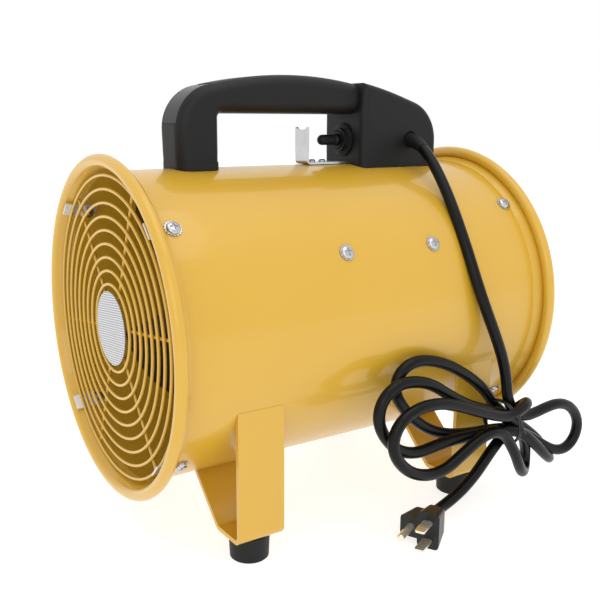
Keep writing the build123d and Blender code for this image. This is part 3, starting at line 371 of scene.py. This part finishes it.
def new_piece(name, grids, material, cad_nodes=()):
    """Closed skins over grids of points in mm whose rows close on themselves.

    Each row is a ring; the faces join a ring to the next one, and its last point to its
    first. A skin is closed where its first and last rows are the same ring or one point."""
    points, quads, used = [], [], 0
    for grid in grids:
        rings, around = grid.shape[:2]
        here = used + np.arange(rings * around).reshape(rings, around)
        there = np.roll(here, -1, axis=1)
        joined = np.stack([here[:-1], there[:-1], there[1:], here[1:]], axis=-1)
        points.append(grid.reshape(-1, 3) / 1000)
        quads.append(joined.reshape(-1, 4))
        used += rings * around
    mesh = bpy.data.meshes.new(name)
    mesh.from_pydata(np.concatenate(points).tolist(), [], np.concatenate(quads).tolist())
    work = bmesh.new()
    work.from_mesh(mesh)
    bmesh.ops.remove_doubles(work, verts=work.verts, dist=1e-7)
    bmesh.ops.recalc_face_normals(work, faces=work.faces)
    work.to_mesh(mesh)
    work.free()
    mesh.shade_smooth()
    mesh.set_sharp_from_angle(angle=math.radians(40))
    mesh.materials.append(material)
    made = bpy.data.objects.new(name, mesh)
    bpy.context.scene.collection.objects.link(made)
    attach(made, "housing")
    if cad_nodes:
        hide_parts(*cad_nodes)
    return made


def sleeve(route, along, from_mm, to_mm, radius_at, stations, around=32):
    """Rings round a route between two lengths along it.

    A ring's middle is the route's point there, its plane is square to the route, and its
    radius is radius_at of the share from 0 at the start to 1 at the end."""
    share = np.linspace(0, 1, stations)
    at = from_mm + (to_mm - from_mm) * share
    middle = np.stack([np.interp(at, along, route[:, axis]) for axis in range(3)], axis=1)
    ahead = np.gradient(middle, axis=0)
    ahead /= np.linalg.norm(ahead, axis=1)[:, None]
    side = np.cross(ahead, (0, 1, 0))
    side /= np.linalg.norm(side, axis=1)[:, None]
    upward = np.cross(side, ahead)
    angle = np.linspace(0, 2 * np.pi, around, endpoint=False)[None, :, None]
    spread = np.cos(angle) * side[:, None] + np.sin(angle) * upward[:, None]
    rings = middle[:, None] + radius_at(share)[:, None, None] * spread
    ends = np.repeat(middle[[0, -1]][:, None], around, axis=1)
    return np.concatenate([ends[:1], rings, ends[1:]])


def relief_radius(share):
    """Radius that falls evenly to the tip, less shallow grooves round it, one per sine wave."""
    taper = RELIEF_ROOT_R + (RELIEF_TIP_R - RELIEF_ROOT_R) * share
    return taper - GROOVE_DEPTH * np.clip(np.sin(2 * np.pi * GROOVES * share), 0, 1)


# Soft rubber from a blasted mould: dull black, with hardly a highlight.
relief_rubber, tree, shader = new_finish(
    "moulded_soft_sleeve", Roughness=0.5, Specular_IOR_Level=0.25
)
speckle(tree, shader, "#0B0B0C", "#111112", cloud_mm=12, grain_mm=0.6, deep_mm=0.02)
route_mm, along_mm = line_of(cord)
relief_end = RELIEF_START + RELIEF_LENGTH
relief_rings = sleeve(route_mm, along_mm, RELIEF_START, relief_end, relief_radius, stations=80)
relief = new_piece("strain_relief", [relief_rings], relief_rubber, ["cord_gland"])

# Wire tie: a plastic-coated wire, wound twice round the middle of the hank and closed by
# twisting its two ends together, which stand off a little.
TIE_WIRE_D = 1.5
TIE_MIDDLE = np.array((113.5, 98.5, 63.0))
TIE_HALF_WIDTH, TIE_HALF_HEIGHT, TIE_TILT, TIE_PITCH = 16.8, 16.4, 1.6, 1.8
TWIST_TURNS, TWIST_POINTS = 2.5, 16
TWIST_HEADING = (0.25, 0.18, -0.75)
TWIST_WAVE = (0, 0.55 * TIE_WIRE_D, 0)
TWIST_STANDS_OFF, OTHER_END_AT = (0.8, 0, -2), (0.6, 1, -1)
# Two turns of a tilted ellipse, each beside the last; then two wires in step along one
# line, which sway to opposite sides of it.
tie_turn = np.linspace(0.1, 2.1, 34) * 2 * np.pi
tie_loops = TIE_MIDDLE + np.stack(
    [
        TIE_HALF_WIDTH * np.cos(tie_turn),
        -TIE_TILT * np.sin(tie_turn) + TIE_PITCH * (tie_turn / (2 * np.pi) - 1),
        TIE_HALF_HEIGHT * np.sin(tie_turn),
    ],
    axis=1,
)
twist = np.linspace(0, TWIST_TURNS, TWIST_POINTS)[:, None] * 2 * np.pi
twist_run = tie_loops[-1] + TWIST_STANDS_OFF + twist * TWIST_HEADING
twist_wave = np.cos(twist) * TWIST_WAVE
tie_start = tie_loops[:1] + OTHER_END_AT
tie_routes = [
    np.concatenate([tie_loops, twist_run + twist_wave]),
    np.concatenate([tie_start, twist_run - twist_wave]),
]
# A vinyl coat drawn over the wire: black, with a thin sharp highlight.
tie_coat, tree, shader = new_finish("glossy_pvc_wire_coat", Roughness=0.3)
speckle(tree, shader, "#08080A", "#0E0E10", cloud_mm=12, grain_mm=0.6, deep_mm=0.01)
for number, tie_route in enumerate(tie_routes):
    tie = smooth_route(f"wire_tie_{number}", tie_route)
    tie.data.bevel_depth = TIE_WIRE_D / 2000
    tie.data.bevel_resolution = 3
    tie.data.use_fill_caps = True
    tie.data.materials.append(tie_coat)
    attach(tie, "housing")
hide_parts("cord_tie")

# Duct housing, its guards and its foot straps: steel with a thick glossy ochre enamel,
# stoved on, that gives a sharp highlight over a very slightly wavy skin.
enamel, tree, shader = new_finish(
    "stoved_ochre_enamel", Roughness=0.34, Coat_Weight=0.5, Coat_Roughness=0.07
)
speckle(
    tree, shader, "#CC9F28", "#D1A430", cloud_mm=60, grain_mm=2.5, deep_mm=0.02, strength=0.35
)


def paint(material, *names):
    """Gives each CAD piece its finish."""
    for name in names:
        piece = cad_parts[name]
        for place in piece.material_slots:
            place.material = material


paint(
    enamel,
    "duct_housing",
    "foot_strap_front_left",
    "foot_strap_front_right",
    "foot_strap_rear_left",
    "foot_strap_rear_right",
)

# Guards: round steel wire, rings in front of six spokes and spot-welded to them, under the
# same enamel. The intake side has ten rings and the outlet side one more in its middle.
WIRE_R, INNER_RING_R, RING_PITCH, RINGS = 1.05, 20.1, 8.7, 10
OUTER_RING_R = INNER_RING_R + RING_PITCH * (RINGS - 1)
GUARD_Y, WELD_SINK = 145.2, 0.2 * WIRE_R
AXIS_Z = 141.0
SPOKES, FIRST_SPOKE_TURN = 6, 7
SPOKE_TURNS = np.radians(FIRST_SPOKE_TURN + 360 / SPOKES * np.arange(SPOKES))


def ring_of_wire(radius, y):
    """A ring of round wire about the fan's axis: a circle of circles."""
    around = np.linspace(0, 2 * np.pi, 120)[:, None]
    section = np.linspace(0, 2 * np.pi, 12, endpoint=False)[None, :]
    out = radius + WIRE_R * np.cos(section)
    along = y + WIRE_R * np.sin(section)
    shape = (out * np.cos(around), along + 0 * around, AXIS_Z + out * np.sin(around))
    return np.stack(shape, axis=-1)


def spoke_of_wire(turn, y):
    """A straight round wire out from the fan's axis, with its two ends closed."""
    away = np.array((math.cos(turn), 0, math.sin(turn)))
    across = np.array((-math.sin(turn), 0, math.cos(turn)))
    section = np.linspace(0, 2 * np.pi, 12, endpoint=False)[None, :, None]
    run = np.array((INNER_RING_R, INNER_RING_R, OUTER_RING_R, OUTER_RING_R))[:, None, None]
    thick = WIRE_R * np.array((0, 1, 1, 0))[:, None, None]
    middle = away * run + (0, y, AXIS_Z)
    return middle + thick * (np.cos(section) * across + np.sin(section) * np.array((0, 1, 0)))


for end, side, first_ring in (("front", -1, 0), ("rear", 1, -1)):
    ring_radii = INNER_RING_R + RING_PITCH * np.arange(first_ring, RINGS)
    spoke_y = side * (GUARD_Y - 2 * WIRE_R + WELD_SINK)
    wires = [ring_of_wire(radius, side * GUARD_Y) for radius in ring_radii]
    wires += [spoke_of_wire(turn, spoke_y) for turn in SPOKE_TURNS]
    new_piece(f"{end}_wire_guard", wires, enamel, [f"{end}_guard"])

# Centre disc: a thin bare disc of aluminium foil, stuck to the innermost ring of the
# intake guard.
DISC_R, DISC_T = 24.3, 0.5
disc_rim = np.array(((0, 0), (DISC_R, 0), (DISC_R, DISC_T), (0, DISC_T)))
disc_turn = np.linspace(0, 2 * np.pi, 96, endpoint=False)[None, :]
disc_grid = np.stack(
    (
        disc_rim[:, :1] * np.cos(disc_turn),
        -GUARD_Y - WIRE_R - disc_rim[:, 1:] + 0 * disc_turn,
        AXIS_Z + disc_rim[:, :1] * np.sin(disc_turn),
    ),
    axis=-1,
)
# Foil rolled with a fine diamond hatch: pale silver, whose lines catch the light in turn.
HATCH_MM, HATCH_TURN = 1.1, math.radians(52)
disc_foil, tree, shader = new_finish("cross_hatched_foil", Metallic=0.75, Roughness=0.42)
foil_place = add_node(tree, "ShaderNodeTexCoord")
diagonal = add_node(
    tree,
    "ShaderNodeMapping",
    Vector=foil_place.outputs["Object"],
    Rotation=(0, HATCH_TURN, 0),
)
hatch = add_node(
    tree,
    "ShaderNodeTexChecker",
    Vector=diagonal.outputs["Vector"],
    Color1=linear("#8E8E90"),
    Color2=linear("#D6D6D8"),
    Scale=1000 / HATCH_MM,
)
tree.links.new(hatch.outputs["Color"], shader.inputs["Base Color"])
new_piece("centre_foil_disc", [disc_grid], disc_foil, ["centre_disc"])

# Nuts, foot screws, handle screws, and the notched plate by the toggle with its screws:
# mild steel, bright zinc plated, which gives a pale blurred mirror.
zinc, tree, shader = new_finish("bright_zinc_plate", Metallic=1.0, Roughness=0.28)
speckle(tree, shader, "#B4B5B6", "#CFD0D2", cloud_mm=10, grain_mm=0.6, deep_mm=0.01)
paint(
    zinc,
    "guard_clip_nuts",
    "bracket_nuts",
    "foot_screws",
    "handle_screws",
    "switch_guard_plate",
    "switch_guard_screws",
)

# Guard clips: strips of zinc-plated sheet, screwed flat to the wall of the duct and bent out
# along the flare, where the guard's outer ring is spot-welded to them.
CLIP_T, CLIP_W, CLIP_SCREW_Y = 1.3, 11.0, 133.75
# The side of a strip: distance from the fan's axis, and y, down its outer face and back.
clip_line = np.array(((99.7, 127.5), (99.7, 139.0), (101.6, 150.0)))
clip_back = clip_line - (CLIP_T, 0)
clip_side = np.concatenate((clip_line, clip_back[::-1]))
# Zinc plate that has dulled on the sheet: a pale, nearly white metal without a mirror.
clip_plate, tree, shader = new_finish("dull_zinc_strip", Metallic=0.5, Roughness=0.45)
speckle(tree, shader, "#CDCDCB", "#E2E2E0", cloud_mm=10, grain_mm=0.6, deep_mm=0.01)
DUCT_TURNS = np.radians(45 + 90 * np.arange(4))


def round_the_duct(turn, out, across, along):
    """Points at a turn about the fan's axis: outwards, sideways along the wall, and in y."""
    x = out * math.cos(turn) - across * math.sin(turn)
    z = out * math.sin(turn) + across * math.cos(turn)
    return np.stack((x, along + 0 * x, AXIS_Z + z), axis=-1)


for end, side in (("front", -1), ("rear", 1)):
    strips = []
    for turn in DUCT_TURNS:
        width = CLIP_W / 2 * np.array((-1, -1, 1, 1))[:, None]
        inward = np.array((0, 1, 1, 0))[:, None]
        middle = clip_side.mean(axis=0)
        edge = middle + inward[..., None] * (clip_side - middle)
        strips.append(round_the_duct(turn, edge[..., 0], width, side * edge[..., 1]))
    new_piece(f"{end}_clip_strips", strips, clip_plate, [f"{end}_guard_clips"])

# Screws through the duct: zinc-plated pan heads with a cross recess, each on a star washer
# whose teeth show round the head.
SEAT_R, HEAD_R, HEAD_H, HEAD_FLATNESS = 101.3, 4.4, 2.3, 0.6
WASHER_R, WASHER_T, WASHER_TEETH, TOOTH_H = 5.2, 0.6, 16, 0.25
SLOT_HALF_W, SLOT_EDGE, SLOT_REACH, SLOT_FADE, SLOT_DEPTH = 0.75, 0.25, 2.6, 0.3, 1.1
SHANK_R, SHANK_LENGTH = 2.0, 8.0
MOTOR_Y, BRACKET_SCREW_HALF_PITCH = 13.6, 36.25


def pan_head(turn, y):
    """A head of revolution: a low dome, less a cross whose two slots fade out at the rim.

    The rings run from the end of the shank up its side, out under the washer, over the
    washer's teeth, and up over the head to its middle."""
    around = np.linspace(0, 2 * np.pi, 96, endpoint=False)[None, :]
    top_r = HEAD_R * np.cos(np.linspace(0, np.pi / 2, 26))[:, None]
    dome = HEAD_H * np.sin(np.arccos(top_r / HEAD_R)) ** HEAD_FLATNESS
    side, ahead = top_r * np.cos(around), top_r * np.sin(around)
    near_slot = np.minimum(np.abs(side), np.abs(ahead))
    within_width = np.clip((SLOT_HALF_W - near_slot) / SLOT_EDGE, 0, 1)
    within_reach = np.clip((SLOT_REACH - top_r) / SLOT_FADE, 0, 1)
    height = WASHER_T + dome - SLOT_DEPTH * within_width * within_reach
    teeth = WASHER_R + TOOTH_H * np.sign(np.sin(WASHER_TEETH * around))
    low_r = np.array((0, SHANK_R, SHANK_R))[:, None] + 0 * around
    low_h = np.array((-SHANK_LENGTH, -SHANK_LENGTH, 0))[:, None] + 0 * around
    rim_r = np.concatenate((teeth, teeth, HEAD_R + 0 * around))
    rim_h = np.array((0, WASHER_T, WASHER_T))[:, None] + 0 * around
    radius = np.concatenate((low_r, rim_r, top_r + 0 * around))
    out = SEAT_R + np.concatenate((low_h, rim_h, height))
    return round_the_duct(turn, out, radius * np.cos(around), y + radius * np.sin(around))


# Zinc plate on a cold-forged head: a bright metal, slightly blotched.
screw_steel, tree, shader = new_finish("zinc_plated_screw", Metallic=1.0, Roughness=0.24)
speckle(tree, shader, "#A9AAAC", "#D5D6D8", cloud_mm=2, grain_mm=0.4, deep_mm=0.02)
clip_heads = [pan_head(turn, y) for turn in DUCT_TURNS for y in (-CLIP_SCREW_Y, CLIP_SCREW_Y)]
new_piece("clip_screw_heads", clip_heads, screw_steel, ["guard_clip_screws"])
BRACKET_TURNS = np.radians(30 + 120 * np.arange(3))
bracket_ys = (MOTOR_Y - BRACKET_SCREW_HALF_PITCH, MOTOR_Y + BRACKET_SCREW_HALF_PITCH)
bracket_heads = [pan_head(turn, y) for turn in BRACKET_TURNS for y in bracket_ys]
new_piece("bracket_screw_heads", bracket_heads, screw_steel, ["bracket_screws"])

# Feet, grommet, and the boot and sleeve of the toggle: moulded black rubber, dull with a
# broad faint sheen. The nut under the boot and the motor's lead inside are as black.
foot_rubber, tree, shader = new_finish(
    "moulded_black_rubber", Roughness=0.55, Specular_IOR_Level=0.3
)
speckle(tree, shader, "#0D0D0E", "#131314", cloud_mm=20, grain_mm=0.7, deep_mm=0.03)
paint(
    foot_rubber,
    "rubber_foot_front_left",
    "rubber_foot_front_right",
    "rubber_foot_rear_left",
    "rubber_foot_rear_right",
    "lead_grommet",
    "switch_boot",
    "switch_nut",
    "toggle_lever",
    "motor_lead",
)

# Handle and switch box: one injection moulding in black nylon with a spark-eroded
# grain, which scatters the light evenly.
grained_nylon, tree, shader = new_finish(
    "grained_black_nylon", Roughness=0.5, Specular_IOR_Level=0.26
)
speckle(tree, shader, "#101011", "#151517", cloud_mm=40, grain_mm=0.5, deep_mm=0.05)
paint(grained_nylon, "handle", "switch_body", "terminal_block", "run_capacitor")
# The insert let into its front end comes from a polished mould, so it shines a little.
insert_plastic, tree, shader = new_finish(
    "smooth_black_insert", Roughness=0.3, Specular_IOR_Level=0.3
)
speckle(tree, shader, "#101011", "#161617", cloud_mm=40, grain_mm=0.5, deep_mm=0.01)
paint(insert_plastic, "handle_insert")

# Impeller and motor: blades moulded in glass-filled black nylon, slightly uneven in the
# light, and a motor shell, end caps and brackets that are painted to the same black.
black_blade, tree, shader = new_finish(
    "glass_filled_black_nylon", Roughness=0.42, Specular_IOR_Level=0.3
)
speckle(tree, shader, "#131313", "#191919", cloud_mm=25, grain_mm=0.8, deep_mm=0.03)
paint(
    black_blade,
    "impeller",
    "motor_shell",
    "motor_front_cap",
    "motor_rear_cap",
    "motor_bracket_1",
    "motor_bracket_2",
    "motor_bracket_3",
)
# Inside the motor: bare ground steel, grey with a soft gleam, and copper wire in amber
# enamel.
core_steel, tree, shader = new_finish("bare_lamination_steel", Metallic=1.0, Roughness=0.5)
speckle(tree, shader, "#6A6A6C", "#7C7C7E", cloud_mm=8, grain_mm=0.5, deep_mm=0.02)
paint(core_steel, "stator_core", "rotor", "motor_shaft", "front_bearing", "rear_bearing")
wire_enamel, tree, shader = new_finish("enamelled_copper_wire", Metallic=1.0, Roughness=0.4)
speckle(tree, shader, "#8A4A24", "#A85C2E", cloud_mm=3, grain_mm=0.5, deep_mm=0.1)
paint(wire_enamel, "front_winding", "rear_winding")

# Studio: a wide white floor that glows a little by itself, so its shadows stay pale, under
# a white sky and two soft lights.
FLOOR_HALF = 6.0
floor_corners = [(x * FLOOR_HALF, y * FLOOR_HALF, 0) for x, y in ((-1, -1), (1, -1), (1, 1), (-1, 1))]
floor_mesh = bpy.data.meshes.new("studio_floor")
floor_mesh.from_pydata(floor_corners, [], [(0, 1, 2, 3)])
floor = bpy.data.objects.new("studio_floor", floor_mesh)
bpy.context.scene.collection.objects.link(floor)
floor_white, tree, shader = new_finish(
    "lit_white_studio_floor",
    Base_Color=linear("#B4B4B4"),
    Roughness=0.6,
    Emission_Color=(1, 1, 1, 1),
    Emission_Strength=0.75,
)
floor_mesh.materials.append(floor_white)

world = bpy.data.worlds.new("studio")
world.use_nodes = True
world.node_tree.nodes["Background"].inputs["Color"].default_value = (1, 1, 1, 1)
world.node_tree.nodes["Background"].inputs["Strength"].default_value = 1.0
bpy.context.scene.world = world
bpy.context.scene.view_settings.view_transform = "Standard"


def soft_light(name, at, towards, size, watts):
    """A square area light that faces a point."""
    data = bpy.data.lights.new(name, "AREA")
    data.size, data.energy = size, watts
    made = bpy.data.objects.new(name, data)
    bpy.context.scene.collection.objects.link(made)
    made.location = at
    made.rotation_mode = "QUATERNION"
    made.rotation_quaternion = (Vector(towards) - Vector(at)).to_track_quat("-Z", "Y")


soft_light("top_light", at=(0.3, 0.0, 1.3), towards=(0, 0, 0.2), size=0.9, watts=3)
soft_light("side_light", at=(1.2, -0.9, 0.8), towards=(0, 0, 0.15), size=0.9, watts=3.2)
